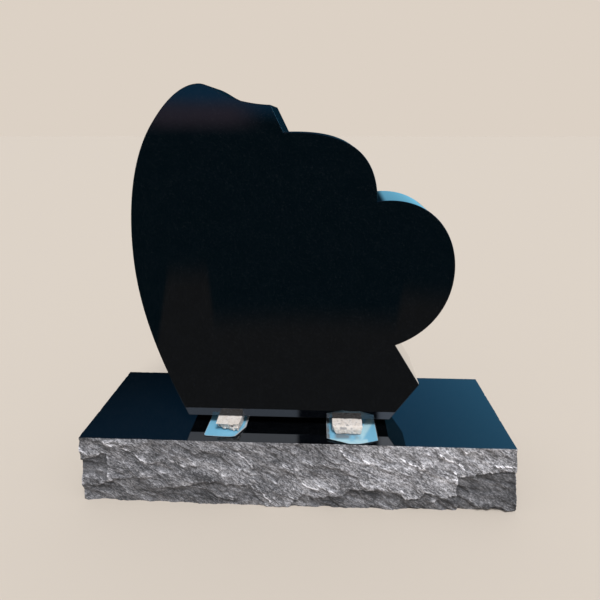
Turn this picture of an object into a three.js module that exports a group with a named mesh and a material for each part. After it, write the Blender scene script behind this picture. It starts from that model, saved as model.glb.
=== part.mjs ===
// Headstone of dark granite: a polished tablet with a lobed, heart-like outline stands on two rough
// packing blocks, each on a thin film sheet, above a base with a polished top and rock-pitched sides.
// Frame: millimetres, +Z up, origin at the bottom centre of the base, +X to the right of someone who
// faces the tablet, +Y away from them.

import * as THREE from 'three';

// Base: the polished top is BASE_LENGTH by BASE_DEPTH between its arrises.
const BASE_LENGTH = 914;
const BASE_DEPTH = 305;
const BASE_HEIGHT = 152;

// Rock-pitched sides: how far the broken stone stands out past the arris at most, and its grid.
const ROCK_BULGE = 16;
const ROCK_STEP = 15;
const ROCK_ROWS = 9;
const ROW_CROWDING = 1.15;
const FEWEST_COLUMNS = 4;

// The broken face swells down to a wavy lip, steps back under it and leans in a little to the bottom.
const SWELL = 14;
const SWELL_POWER = 1.2;
const LIP_AT = 0.77;
const LIP_SWING = 0.09;
const LIP_WAVE = 1010;
const LIP_START = 442;
const LIP_RIPPLE = 0.035;
const LIP_RIPPLE_WAVE = 118;
const LIP_STEP = 4;
const LIP_STEP_RUN = 0.06;
const UNDERCUT = 3;

// Broad facets left by the pitching chisel, slanting down to the right.
const FACET_WIDTH = 96;
const FACET_HEIGHT = 62;
const FACET_SLANT = 0.8;
const FACET_JITTER = 0.7;
const FACET_SHARPNESS = 5;
const FACET_RELIEF = 4.2;
const FACET_ARRIS_RUN = 0.3;
const FACET_REACH = 2;
const FACET_LEAN = 2;
const CELLS_PER_SIDE = 1000;

// Pieces broken out of the front face, as shares of its length and height, with a depth in mm.
const FRONT_SPALLS = [
  { name: 'hollow at the left end', from: -0.1, to: 0.065, top: 0.28, bottom: 0.66, depth: 4 },
  { name: 'hollow at the right end', from: 0.86, to: 1.1, top: 0.43, bottom: 1.2, depth: 6 },
];
const SPALL_EDGE_ALONG = 0.008;
const SPALL_EDGE_DOWN = 0.06;

// Tablet: its outline is an artistic form, kept as shares of its own width and height.
const TABLET_WIDTH = 635;
const TABLET_HEIGHT = 674;
const TABLET_THICKNESS = 152;
const TABLET_SETBACK = 66;
const TABLET_SHIFT = -5;
const CURVE_STEPS = 14;
const FOOT_LEFT = 0.137;
const FOOT_RIGHT = 0.829;
const OUTLINE = [
  { name: 'foot', to: [FOOT_RIGHT, 0] },
  { name: 'lower right slant', to: [0.918, 0.1265] },
  { name: 'cut under the lower lobe', to: [0.8325, 0.2605] },
  { name: 'lower lobe, under half', by: [[0.937, 0.3], [1, 0.388]], to: [1, 0.49] },
  { name: 'lower lobe, upper half', by: [[1, 0.614], [0.904, 0.717]], to: [0.752, 0.696] },
  { name: 'upper lobe', by: [[0.745, 0.854], [0.624, 0.883]], to: [0.473, 0.879] },
  { name: 'step up to the crest', to: [0.435, 0.946] },
  { name: 'crest, falling side', by: [[0.405, 0.9475], [0.366, 0.9535]], to: [0.331, 0.9655] },
  { name: 'crest, rising side', by: [[0.3, 0.974], [0.277, 0.999]], to: [0.243, 1] },
  { name: 'left shoulder', by: [[0.186, 1], [0.136, 0.952]], to: [0.102, 0.909] },
  { name: 'left side, upper half', by: [[0.023, 0.809], [0, 0.655]], to: [0, 0.533] },
  { name: 'left side, lower half', by: [[0, 0.349], [0.06, 0.178]], to: [FOOT_LEFT, 0] },
];

// Packing blocks: rough white stone, standing out in front of the tablet and stopping short behind.
const BLOCK_HEIGHT = 20;
const BLOCK_STOPS_SHORT = 20;
const BLOCK_INSET = 92;
const BLOCK_STEP = 7;
const BLOCK_ROWS = 4;
const BLOCK_ROUGHNESS = 0.9;
const BREAK_REACH = 22;
const BREAK_LIFT = 0.5;
const JAG = { least: 0.2, most: 1, coarse: 0.21, fine: 0.55 };
const LEFT_BLOCK = {
  name: 'left_packing_block', width: 54, standsOut: 32, broken: 9, cornerRound: 2,
};
const RIGHT_BLOCK = {
  name: 'right_packing_block', width: 65, standsOut: 31, broken: 2.5, cornerRound: 8,
};

// Film sheets under the blocks: each lies a little askew, with its front corners cut away.
const FILM_THICKNESS = 0.5;
const FILM_BEHIND_BLOCK = 8;
const LEFT_FILM = {
  name: 'left_film_sheet', width: 85, front: 17, shift: -7, turn: -1.5,
  cutLeft: { across: 3, back: 4 }, cutRight: { across: 16, back: 37 },
};
const RIGHT_FILM = {
  name: 'right_film_sheet', width: 107, front: 33, shift: 10, turn: 1,
  cutLeft: { across: 36, back: 15 }, cutRight: { across: 32, back: 13 },
};

// Gap left wherever one piece rests on another.
const SEAT_GAP = 0.3;

// Margin round the free stretches of the polished top, where a vase or an ornament can stand.
const FREE_TOP_MARGIN = 12;

// Heights and places worked out from the sizes above.
const FILM_BOTTOM = BASE_HEIGHT + SEAT_GAP;
const BLOCK_BOTTOM = FILM_BOTTOM + FILM_THICKNESS + SEAT_GAP;
const TABLET_BOTTOM = BLOCK_BOTTOM + BLOCK_HEIGHT + SEAT_GAP;
const TABLET_FRONT = -BASE_DEPTH / 2 + TABLET_SETBACK;
const TABLET_BACK = TABLET_FRONT + TABLET_THICKNESS;
const LEFT_BLOCK_X = tabletX(FOOT_LEFT) + BLOCK_INSET;
const RIGHT_BLOCK_X = tabletX(FOOT_RIGHT) - BLOCK_INSET;

/** The Y of a packing block's front. */
function blockFront(block) {
  return TABLET_FRONT - block.standsOut;
}

/** How deep a packing block is. */
function blockDepth(block) {
  return TABLET_BACK - BLOCK_STOPS_SHORT - blockFront(block);
}

/** The X of a share of the tablet's width. */
function tabletX(share) {
  return TABLET_SHIFT + (share - 0.5) * TABLET_WIDTH;
}

// Factors of the repeatable scatter below.
const SCATTER = { first: 127.1, second: 311.7, third: 74.7, scale: 43758.5453 };

/** A repeatable number from 0 to 1 for three whole numbers. */
function scatter(first, second, third) {
  const phase = first * SCATTER.first + second * SCATTER.second + third * SCATTER.third;
  const value = Math.sin(phase) * SCATTER.scale;
  return value - Math.floor(value);
}

/** A smooth ramp from 0 to 1 as the share goes from 0 to 1. */
function ramp(share) {
  return THREE.MathUtils.smoothstep(share, 0, 1);
}

/** The broad facets of a broken face: tilted patches that blend near their borders, about -1 to 1. */
function facets(side, along, depth) {
  const across = (along + FACET_SLANT * depth) / FACET_WIDTH;
  const level = depth / FACET_HEIGHT;
  let total = 0;
  let weights = 0;
  for (let i = Math.floor(across) - FACET_REACH; i <= Math.floor(across) + FACET_REACH; i += 1) {
    for (let j = Math.floor(level) - FACET_REACH; j <= Math.floor(level) + FACET_REACH; j += 1) {
      const cell = i + side * CELLS_PER_SIDE;
      const offX = across - (i + 0.5 + FACET_JITTER * (scatter(cell, j, 1) - 0.5));
      const offY = level - (j + 0.5 + FACET_JITTER * (scatter(cell, j, 2) - 0.5));
      const height = 2 * scatter(cell, j, 3) - 1;
      const lean = (scatter(cell, j, 4) - 0.5) * offX + (scatter(cell, j, 5) - 0.5) * offY;
      const weight = Math.exp(-FACET_SHARPNESS * (offX * offX + offY * offY));
      total += weight * (height + FACET_LEAN * lean);
      weights += weight;
    }
  }
  return total / weights;
}

/** How deep the front face's spalls cut at a point given as shares of its length and height. */
function spallDepth(shareAlong, shareDown) {
  let depth = 0;
  for (const spall of FRONT_SPALLS) {
    const alongEdge = ramp((shareAlong - spall.from) / SPALL_EDGE_ALONG)
      * ramp((spall.to - shareAlong) / SPALL_EDGE_ALONG);
    const downEdge = ramp((shareDown - spall.top) / SPALL_EDGE_DOWN)
      * ramp((spall.bottom - shareDown) / SPALL_EDGE_DOWN);
    depth += spall.depth * alongEdge * downEdge;
  }
  return depth;
}

/** How far a rock-pitched side stands out before it is scaled to ROCK_BULGE, in mm. */
function rawRock(side, along, length, down) {
  const turn = 2 * Math.PI * (along - LIP_START);
  const lip = LIP_AT + LIP_SWING * Math.sin(turn / LIP_WAVE + side)
    + LIP_RIPPLE * Math.sin(turn / LIP_RIPPLE_WAVE + side);
  const swell = SWELL * Math.min(down / lip, 1) ** SWELL_POWER;
  const step = LIP_STEP * ramp((down - lip) / LIP_STEP_RUN);
  const lean = UNDERCUT * Math.max(down - lip, 0) / (1 - lip);
  const broken = FACET_RELIEF * facets(side, along, down * BASE_HEIGHT) * ramp(down / FACET_ARRIS_RUN);
  const spall = side === 0 ? spallDepth(along / length, down) : 0;
  return Math.max(swell - step - lean + broken - spall, 0);
}

/** The depths of the rock grid's rows, as shares of the base's height, closer together near the top. */
function rockRows() {
  return Array.from({ length: ROCK_ROWS + 1 }, (_, row) => (row / ROCK_ROWS) ** ROW_CROWDING);
}

/** One side of the base: its start corner, directions, grid and scaled relief. */
function rockSide(index) {
  const turn = (index * Math.PI) / 2;
  const length = index % 2 === 0 ? BASE_LENGTH : BASE_DEPTH;
  const reach = index % 2 === 0 ? BASE_DEPTH : BASE_LENGTH;
  const direction = new THREE.Vector2(Math.round(Math.cos(turn)), Math.round(Math.sin(turn)));
  const outward = new THREE.Vector2(direction.y, -direction.x);
  const start = outward.clone().multiplyScalar(reach / 2).addScaledVector(direction, -length / 2);
  const columns = Math.max(FEWEST_COLUMNS, Math.round(length / ROCK_STEP));
  let highest = 0;
  for (let column = 0; column <= columns; column += 1) {
    for (const down of rockRows()) {
      highest = Math.max(highest, rawRock(index, (length * column) / columns, length, down));
    }
  }
  const relief = (along, down) => (ROCK_BULGE * rawRock(index, along, length, down)) / highest;
  return { length, direction, outward, start, columns, relief };
}

/** The closed ring of points round the base at one depth, counter-clockwise from above. */
function rockRing(sides, down) {
  const ring = [];
  sides.forEach((side, index) => {
    const before = sides[(index + 3) % 4];
    const after = sides[(index + 1) % 4];
    const startReach = before.relief(before.length, down);
    const endReach = after.relief(0, down);
    for (let column = 0; column < side.columns; column += 1) {
      const share = column / side.columns;
      const along = -startReach + (side.length + startReach + endReach) * share;
      const point = side.start.clone().addScaledVector(side.direction, along);
      ring.push(point.addScaledVector(side.outward, side.relief(side.length * share, down)));
    }
  });
  return ring;
}

/** Points inside the polished top, two rows from left to right, that bound its free stretches. */
function innerTop() {
  const end = BASE_LENGTH / 2 - FREE_TOP_MARGIN;
  const reach = BASE_DEPTH / 2 - FREE_TOP_MARGIN;
  const beforeFilm = LEFT_BLOCK_X + LEFT_FILM.shift - LEFT_FILM.width / 2 - FREE_TOP_MARGIN;
  const afterFilm = RIGHT_BLOCK_X + RIGHT_FILM.shift + RIGHT_FILM.width / 2 + FREE_TOP_MARGIN;
  const row = [-end, beforeFilm, afterFilm, end];
  return [-reach, reach].flatMap((y) => row.map((x) => new THREE.Vector2(x, y)));
}

/** Triangles between an outer row of points and the inner row on its left, both along a direction. */
function stitch(points, outer, inner, direction) {
  const along = (index) => points[index].dot(direction);
  const faces = [];
  let o = 0;
  let i = 0;
  while (o < outer.length - 1 || i < inner.length - 1) {
    const innerDone = i === inner.length - 1;
    const outerLeft = o < outer.length - 1;
    if (innerDone || (outerLeft && along(outer[o + 1]) <= along(inner[i + 1]))) {
      faces.push(outer[o], outer[o + 1], inner[i]);
      o += 1;
    } else {
      faces.push(outer[o], inner[i + 1], inner[i]);
      i += 1;
    }
  }
  return faces;
}

/** The polished top's triangles: each stretch between the inner points is a flat face of its own. */
function topFaces(sides, points, firstInner) {
  const [f0, f1, f2, f3, b0, b1, b2, b3] = points.slice(firstInner).map((_, index) => firstInner + index);
  const innerRows = [[f0, f1, f2, f3], [f3, b3], [b3, b2, b1, b0], [b0, f0]];
  const faces = [];
  let column = 0;
  sides.forEach((side, index) => {
    const outer = Array.from({ length: side.columns + 1 }, (_, step) => (column + step) % firstInner);
    faces.push(...stitch(points, outer, innerRows[index], side.direction));
    column += side.columns;
  });
  for (const [a, b, c, d] of [[f0, f1, b1, b0], [f1, f2, b2, b1], [f2, f3, b3, b2]]) {
    faces.push(a, b, c, a, c, d);
  }
  return faces;
}

/** The base: a flat polished top, rock-pitched sides and a flat bottom, as one closed surface. */
function baseGeometry() {
  const sides = [0, 1, 2, 3].map(rockSide);
  const rings = rockRows().map((down) => rockRing(sides, down));
  const count = rings[0].length;
  const inner = innerTop();
  const positions = [];
  rings[0].concat(inner).forEach((point) => positions.push(point.x, point.y, BASE_HEIGHT));
  rockRows().slice(1).forEach((down, row) => {
    rings[row + 1].forEach((point) => positions.push(point.x, point.y, BASE_HEIGHT * (1 - down)));
  });
  const bottomCentre = positions.length / 3;
  positions.push(0, 0, 0);
  const rowStart = (row) => (row === 0 ? 0 : row * count + inner.length);
  const faces = topFaces(sides, rings[0].concat(inner), count);
  for (let column = 0; column < count; column += 1) {
    const next = (column + 1) % count;
    for (let row = 0; row < ROCK_ROWS; row += 1) {
      const upper = rowStart(row);
      const lower = rowStart(row + 1);
      faces.push(upper + column, lower + column, lower + next);
      faces.push(upper + column, lower + next, upper + next);
    }
    faces.push(bottomCentre, rowStart(ROCK_ROWS) + next, rowStart(ROCK_ROWS) + column);
  }
  const geometry = new THREE.BufferGeometry();
  geometry.setAttribute('position', new THREE.Float32BufferAttribute(positions, 3));
  geometry.setIndex(faces);
  geometry.computeVertexNormals();
  return geometry;
}

/** The tablet's outline at its real size, with its foot on the X axis. */
function tabletShape() {
  const at = ([x, y]) => [(x - 0.5) * TABLET_WIDTH, y * TABLET_HEIGHT];
  const shape = new THREE.Shape();
  shape.moveTo(...at([FOOT_LEFT, 0]));
  for (const stretch of OUTLINE) {
    if (stretch.by) {
      shape.bezierCurveTo(...at(stretch.by[0]), ...at(stretch.by[1]), ...at(stretch.to));
    } else {
      shape.lineTo(...at(stretch.to));
    }
  }
  return shape;
}

/** The tablet: the outline carried straight through the slab's thickness, upright. */
function tabletGeometry() {
  const geometry = new THREE.ExtrudeGeometry(tabletShape(), {
    depth: TABLET_THICKNESS, bevelEnabled: false, curveSegments: CURVE_STEPS,
  });
  return geometry.rotateX(Math.PI / 2);
}

/** How far a break eats in at a place across a block, as a share of its depth. */
function jag(across) {
  const wave = Math.cos(JAG.coarse * across) * Math.cos(JAG.fine * across);
  return THREE.MathUtils.lerp(JAG.least, JAG.most, (1 + wave) / 2);
}

/** A packing block with its foot at z = 0 and its front at y = 0, broken along its lower front edge. */
function blockGeometry(block) {
  const { width, broken, cornerRound } = block;
  const depth = blockDepth(block);
  const columns = Math.round(width / BLOCK_STEP);
  const rows = Math.round(depth / BLOCK_STEP);
  const geometry = new THREE.BoxGeometry(width, depth, BLOCK_HEIGHT, columns, rows, BLOCK_ROWS);
  geometry.translate(0, depth / 2, BLOCK_HEIGHT / 2);
  const position = geometry.attributes.position;
  const point = new THREE.Vector3();
  for (let index = 0; index < position.count; index += 1) {
    point.fromBufferAttribute(position, index);
    const low = (1 - point.z / BLOCK_HEIGHT) * ramp(1 - point.y / BREAK_REACH);
    const side = point.x / (width / 2);
    const onSide = Math.abs(side) >= 1 && point.y > 0 && point.y < depth;
    const rough = onSide ? BLOCK_ROUGHNESS * scatter(Math.round(point.y), point.z, side) : 0;
    const bite = broken * jag(point.x) * low;
    const inward = cornerRound * side * side * low + rough;
    position.setXYZ(index, point.x - Math.sign(side) * inward, point.y + bite, point.z + BREAK_LIFT * bite);
  }
  return geometry;
}

/** The film sheet under a block: its bottom at z = 0, the middle of the block's front at the origin. */
function filmGeometry({ width, front, shift, cutLeft, cutRight }, block) {
  const left = shift - width / 2;
  const right = shift + width / 2;
  const near = -front;
  const far = blockDepth(block) + FILM_BEHIND_BLOCK;
  const shape = new THREE.Shape();
  shape.moveTo(left, near + cutLeft.back);
  shape.lineTo(left + cutLeft.across, near);
  shape.lineTo(right - cutRight.across, near);
  shape.lineTo(right, near + cutRight.back);
  shape.lineTo(right, far);
  shape.lineTo(left, far);
  shape.closePath();
  return new THREE.ExtrudeGeometry(shape, { depth: FILM_THICKNESS, bevelEnabled: false });
}

/** A named mesh with its own material. */
function piece(name, geometry, color, roughness) {
  const material = new THREE.MeshStandardMaterial({ color, roughness, metalness: 0 });
  const mesh = new THREE.Mesh(geometry, material);
  mesh.name = name;
  return mesh;
}

/** The base, on the ground. */
function makeBase() {
  return piece('base', baseGeometry(), 0x6f7072, 0.8);
}

/** The tablet, over the packing blocks. */
function makeTablet() {
  const tablet = piece('tablet', tabletGeometry(), 0x0b0d10, 0.06);
  tablet.position.set(TABLET_SHIFT, TABLET_BACK, TABLET_BOTTOM);
  return tablet;
}

/** A packing block under the tablet's foot. */
function makeBlock(block, centreX) {
  const mesh = piece(block.name, blockGeometry(block), 0xe4ddd3, 0.9);
  mesh.position.set(centreX, blockFront(block), BLOCK_BOTTOM);
  return mesh;
}

/** A film sheet under a packing block. */
function makeFilm(film, block, centreX) {
  const mesh = piece(film.name, filmGeometry(film, block), 0x86c3dd, 0.35);
  mesh.position.set(centreX, blockFront(block), FILM_BOTTOM);
  mesh.rotation.z = THREE.MathUtils.degToRad(film.turn);
  return mesh;
}

const headstone = new THREE.Group();
headstone.add(makeBase());
headstone.add(makeTablet());
headstone.add(makeBlock(LEFT_BLOCK, LEFT_BLOCK_X));
headstone.add(makeBlock(RIGHT_BLOCK, RIGHT_BLOCK_X));
headstone.add(makeFilm(LEFT_FILM, LEFT_BLOCK, LEFT_BLOCK_X));
headstone.add(makeFilm(RIGHT_FILM, RIGHT_BLOCK, RIGHT_BLOCK_X));

export default headstone;
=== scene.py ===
"""Dresses a dark granite headstone: a lobed tablet on two packing blocks and two film sheets, over a base.

The tablet and the base's top are polished, and the base's sides are rock-pitched. Sizes in the classes are in
millimetres, and meshes are in metres.
"""

import itertools
import logging
import math
from collections.abc import Mapping, Sequence
from dataclasses import dataclass, field
from enum import Enum

import bpy
import numpy as np
from mathutils import Euler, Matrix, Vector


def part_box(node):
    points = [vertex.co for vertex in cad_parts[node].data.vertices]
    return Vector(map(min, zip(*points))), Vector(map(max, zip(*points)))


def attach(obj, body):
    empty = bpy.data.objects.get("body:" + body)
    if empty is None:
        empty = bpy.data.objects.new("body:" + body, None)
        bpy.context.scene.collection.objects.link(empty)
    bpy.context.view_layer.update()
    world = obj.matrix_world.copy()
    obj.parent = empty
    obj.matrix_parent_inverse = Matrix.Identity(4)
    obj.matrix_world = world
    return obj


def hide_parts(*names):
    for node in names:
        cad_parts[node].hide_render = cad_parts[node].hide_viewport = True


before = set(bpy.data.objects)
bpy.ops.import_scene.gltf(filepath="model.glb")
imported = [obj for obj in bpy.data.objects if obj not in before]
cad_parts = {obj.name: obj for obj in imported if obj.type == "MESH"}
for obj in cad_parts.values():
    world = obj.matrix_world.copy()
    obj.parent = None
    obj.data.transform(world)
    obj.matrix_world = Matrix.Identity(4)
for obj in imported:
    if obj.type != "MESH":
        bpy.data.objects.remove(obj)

log = logging.getLogger("headstone")

MM = 0.001
Colour = tuple[float, float, float]


# Numbers worked out as whole arrays

def scatter(first: np.ndarray, second: np.ndarray, third: float) -> np.ndarray:
    """A repeatable number from 0 to 1 for three whole numbers: the fraction of a large multiple of a sine."""
    value = np.sin(first * 127.1 + second * 311.7 + third * 74.7) * 43758.5453
    return value - np.floor(value)


def ramp(share: np.ndarray) -> np.ndarray:
    """A smooth ramp: 0 up to share 0, 1 from share 1, and the cubic 3s^2 - 2s^3 between."""
    s = np.clip(share, 0.0, 1.0)
    return s * s * (3.0 - 2.0 * s)


def noise(points: np.ndarray, size: float, seed: int) -> np.ndarray:
    """Smooth noise from -1 to 1: random values at the corners of cubes, blended by ramps inside each cube.

    Args:
        points: places, with X, Y and Z on the last axis.
        size: the side of a cube, in the unit of the places.
        seed: picks another pattern.

    Returns:
        One value for each place.
    """
    low = np.floor(points / size)
    share = ramp(points / size - low)
    total = np.zeros(points.shape[:-1])
    for corner in itertools.product((0, 1), repeat=3):
        weight = np.prod(np.where(corner, share, 1.0 - share), axis=-1)
        x, y, z = (low[..., axis] + corner[axis] for axis in range(3))
        total += weight * scatter(x + 57.0 * z, y, seed)
    return 2.0 * total - 1.0


def rough(points: np.ndarray, size: float, seed: int, octaves: int = 3) -> np.ndarray:
    """Noise with finer noise on it: each octave is half as large and half as strong as the one before."""
    layers = [noise(points, size / 2**k, seed + k) / 2**k for k in range(octaves)]
    return sum(layers) / sum(0.5**k for k in range(octaves))


@dataclass(frozen=True)
class Facets:
    """Tilted patches of broken stone, in a jittered grid that is turned down to the right.

    A place takes the mean of the planes of the patches round it, weighted by exp(-sharpness x distance
    squared), so a sharp set has crisp creases between nearly flat patches. The sizes are in mm, the turn is
    in degrees, and the rest are shares of a patch.
    """

    long: float
    short: float
    turn: float = 0.0
    shear: float = 0.0
    sharpness: float = 5.0
    jitter: float = 0.7
    lean: float = 2.0
    seed: int = 0

    def height(self, side: int, along: np.ndarray, depth: np.ndarray) -> np.ndarray:
        """The facets' height at places on a side.

        Args:
            side: the side's number, which picks its own patches.
            along: mm along the side.
            depth: mm down from its arris.

        Returns:
            Heights from about -1 to 1.
        """
        turn = math.radians(self.turn)
        across = (along * math.cos(turn) + depth * (math.sin(turn) + self.shear)) / self.long
        level = (depth * math.cos(turn) - along * math.sin(turn)) / self.short
        total, weights = np.zeros(across.shape), np.zeros(across.shape)
        for i, j in itertools.product(range(-2, 3), repeat=2):
            column, row = np.floor(across) + i, np.floor(level) + j
            cell = column + 1000 * side + self.seed
            x = across - (column + 0.5 + self.jitter * (scatter(cell, row, 1) - 0.5))
            y = level - (row + 0.5 + self.jitter * (scatter(cell, row, 2) - 0.5))
            plane = (scatter(cell, row, 4) - 0.5) * x + (scatter(cell, row, 5) - 0.5) * y
            weight = np.exp(-self.sharpness * (x * x + y * y))
            total += weight * (2.0 * scatter(cell, row, 3) - 1.0 + self.lean * plane)
            weights += weight
        return total / weights


# Meshes

def closed_strip(rows: int, columns: int) -> np.ndarray:
    """The quads between rings of points, facing outwards where the rings run counter-clockwise going down.

    Args:
        rows: how many rings there are.
        columns: how many points each ring has.

    Returns:
        The point numbers of each quad, (quads, 4).
    """
    row, column = np.meshgrid(np.arange(rows - 1), np.arange(columns), indexing="ij")
    after = (column + 1) % columns
    upper, lower = row * columns, (row + 1) * columns
    return np.stack([upper + column, lower + column, lower + after, upper + after], axis=-1).reshape(-1, 4)


def make_piece(
    name: str,
    points: np.ndarray,
    faces: Sequence[Sequence[int]],
    materials: Sequence[bpy.types.Material],
    face_material: np.ndarray,
    smooth: np.ndarray,
    crease: float = 35.0,
) -> bpy.types.Object:
    """Makes a mesh object whose place is in its mesh.

    Args:
        name: the piece's name.
        points: its vertices in millimetres, one row each.
        faces: the vertex numbers of each face, counter-clockwise from outside.
        materials: its material slots.
        face_material: the slot of each face.
        smooth: whether each face is shaded smooth.
        crease: the angle in degrees past which an edge between smooth faces stays sharp.

    Returns:
        The new object.
    """
    mesh = bpy.data.meshes.new(name)
    mesh.from_pydata((points * MM).tolist(), [], faces)
    for material in materials:
        mesh.materials.append(material)
    mesh.polygons.foreach_set("material_index", face_material.astype(np.int32))
    mesh.update()
    mesh.set_sharp_from_angle(angle=math.radians(crease))
    mesh.polygons.foreach_set("use_smooth", smooth.astype(bool))
    mesh.update()
    piece = bpy.data.objects.new(name, mesh)
    bpy.context.scene.collection.objects.link(piece)
    return piece


def add_attribute(piece: bpy.types.Object, name: str, values: np.ndarray) -> None:
    """Stores one number for each vertex of a piece, for its materials to read."""
    attribute = piece.data.attributes.new(name, "FLOAT", "POINT")
    attribute.data.foreach_set("value", np.ascontiguousarray(values, dtype=np.float32))


# Shader nodes

class Signal:
    """A number in a node tree that adds Math nodes when it is used in an expression."""

    def __init__(self, nodes: "Nodes", socket: bpy.types.NodeSocket) -> None:
        """Wraps an output socket of a tree."""
        self.nodes = nodes
        self.socket = socket

    def _math(self, operation: str, *values: "Signal | float") -> "Signal":
        """A Math node of these values."""
        return self.nodes.signal("ShaderNodeMath", {"operation": operation}, dict(enumerate(values)))

    def __add__(self, other: "Signal | float") -> "Signal":
        """The sum."""
        return self._math("ADD", self, other)

    def __sub__(self, other: "Signal | float") -> "Signal":
        """The difference."""
        return self._math("SUBTRACT", self, other)

    def __rsub__(self, other: float) -> "Signal":
        """The difference, taken from a number."""
        return self._math("SUBTRACT", other, self)

    def __mul__(self, other: "Signal | float") -> "Signal":
        """The product."""
        return self._math("MULTIPLY", self, other)

    __radd__ = __add__
    __rmul__ = __mul__

    def above(self, low: float, high: float) -> "Signal":
        """A smooth rise from 0 to 1 as this goes from low to high, or a fall where low is the larger.

        Args:
            low: where it starts.
            high: where it ends.

        Returns:
            The share.
        """
        settings = {"interpolation_type": "SMOOTHSTEP"}
        if low > high:
            return 1.0 - self.above(high, low)
        return self.nodes.signal("ShaderNodeMapRange", settings, {0: self, 1: low, 2: high, 3: 0.0, 4: 1.0})


NodeValue = Signal | bpy.types.NodeSocket | float | Sequence[float]
Settings = Mapping[str, object] | None
Inputs = Mapping[int | str, NodeValue] | None


class Nodes:
    """A node tree that is being written."""

    def __init__(self, tree: bpy.types.NodeTree) -> None:
        """Starts with an empty tree."""
        self.tree = tree
        self.tree.nodes.clear()

    def node(self, kind: str, settings: Settings = None, inputs: Inputs = None) -> bpy.types.Node:
        """Adds a node.

        Args:
            kind: the node's type.
            settings: its properties, which are set first.
            inputs: values or links for its input sockets, by name or number.

        Returns:
            The new node.
        """
        made = self.tree.nodes.new(kind)
        for name, value in (settings or {}).items():
            setattr(made, name, value)
        for key, value in (inputs or {}).items():
            source = value.socket if isinstance(value, Signal) else value
            if isinstance(source, bpy.types.NodeSocket):
                self.tree.links.new(source, made.inputs[key])
            else:
                made.inputs[key].default_value = source
        return made

    def signal(
        self, kind: str, settings: Settings = None, inputs: Inputs = None, output: int | str = 0
    ) -> Signal:
        """Adds a node and wraps one of its outputs."""
        return Signal(self, self.node(kind, settings, inputs).outputs[output])

    def mix(self, factor: NodeValue, first: NodeValue, second: NodeValue) -> bpy.types.NodeSocket:
        """A colour between two colours: the first at factor 0 and the second at factor 1."""
        return self.node("ShaderNodeMix", {"data_type": "RGBA"}, {0: factor, 6: first, 7: second}).outputs[2]

    def scaled(self, colour: NodeValue, level: NodeValue) -> bpy.types.NodeSocket:
        """A colour times a number."""
        inputs = {0: colour, "Scale": level}
        return self.node("ShaderNodeVectorMath", {"operation": "SCALE"}, inputs).outputs[0]


class Recipe(Nodes):
    """A material that is being written, with its patterns on the piece's own coordinates."""

    def __init__(self, name: str) -> None:
        """Starts a material with its object coordinates.

        Args:
            name: the material's name.
        """
        self.material = bpy.data.materials.new(name)
        self.material.use_nodes = True
        super().__init__(self.material.node_tree)
        self.place = self.node("ShaderNodeTexCoord").outputs["Object"]

    def stretched(self, size: Colour, turn: float = 0.0) -> bpy.types.NodeSocket:
        """Coordinates counted in a pattern's own lengths.

        Args:
            size: the pattern's size along its own X, Y and Z, in metres.
            turn: how far its X axis is turned down to the right in the front face, in degrees.

        Returns:
            The vector socket.
        """
        inputs = {"Vector": self.place, "Rotation": (0.0, math.radians(turn), 0.0), "Scale": size}
        return self.node("ShaderNodeMapping", {"vector_type": "TEXTURE"}, inputs).outputs[0]

    def grain(self, size: Colour, turn: float = 0.0, detail: float = 2.0) -> Signal:
        """Cloudy noise, about 0.3 to 0.7, whose clouds have this size."""
        inputs = {"Vector": self.stretched(size, turn), "Scale": 1.0, "Detail": detail}
        return self.signal("ShaderNodeTexNoise", {}, inputs)

    def crystals(self, size: float, randomness: float = 1.0) -> Signal:
        """A random number from 0 to 1 for each crystal of about this size."""
        inputs = {"Vector": self.stretched((size,) * 3), "Scale": 1.0, "Randomness": randomness}
        node = self.node("ShaderNodeTexVoronoi", {}, inputs)
        return self.signal("ShaderNodeSeparateColor", {}, {0: node.outputs["Color"]})

    def attribute(self, name: str) -> Signal:
        """A number stored on the piece's vertices."""
        return self.signal("ShaderNodeAttribute", {"attribute_name": name}, output="Fac")

    def bump(self, height: Signal, distance: float, strength: float = 1.0) -> bpy.types.NodeSocket:
        """A normal bent by a height from 0 to 1 that stands for this distance in metres."""
        inputs = {"Height": height, "Distance": distance, "Strength": strength}
        return self.node("ShaderNodeBump", {}, inputs).outputs[0]

    def surface(self, inputs: Mapping[int | str, NodeValue]) -> bpy.types.Material:
        """Ends the recipe with its surface shader."""
        shader = self.node("ShaderNodeBsdfPrincipled", {}, inputs)
        self.node("ShaderNodeOutputMaterial", {}, {"Surface": shader.outputs[0]})
        return self.material


def opaque(colour: Colour, level: float = 1.0) -> tuple[float, float, float, float]:
    """A colour times a level, as a colour socket takes it."""
    red, green, blue = colour
    return (level * red, level * green, level * blue, 1.0)


# Finishes

@dataclass(frozen=True)
class PolishedGranite:
    """Nearly black granite polished to a mirror, with dim crystals that show close up."""

    ground: Colour = (0.0009, 0.0012, 0.0017)
    crystal: Colour = (0.0024, 0.0030, 0.0040)
    bright_crystal: Colour = (0.013, 0.014, 0.016)
    crystal_size: float = 0.0016
    roughness: float = 0.025
    smudge: float = 0.02
    ior: float = 1.55

    def material(self) -> bpy.types.Material:
        """Crystals of two sizes by chance in the colour, and faint smudges in the gloss."""
        recipe = Recipe("polished_granite")
        chance = recipe.crystals(self.crystal_size)
        small = recipe.crystals(self.crystal_size * 0.55)
        cloud = recipe.grain((0.03,) * 3, detail=3.0)
        dim = chance.above(0.55, 0.95) * cloud.above(0.35, 0.6)
        tone = recipe.mix(dim, opaque(self.ground), opaque(self.crystal))
        tone = recipe.mix(small.above(0.975, 0.985), tone, opaque(self.bright_crystal))
        smears = recipe.grain((0.09, 0.09, 0.05), turn=20.0, detail=4.0).above(0.45, 0.7)
        return recipe.surface({
            "Base Color": tone, "Roughness": self.roughness + self.smudge * smears, "IOR": self.ior,
        })


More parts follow.
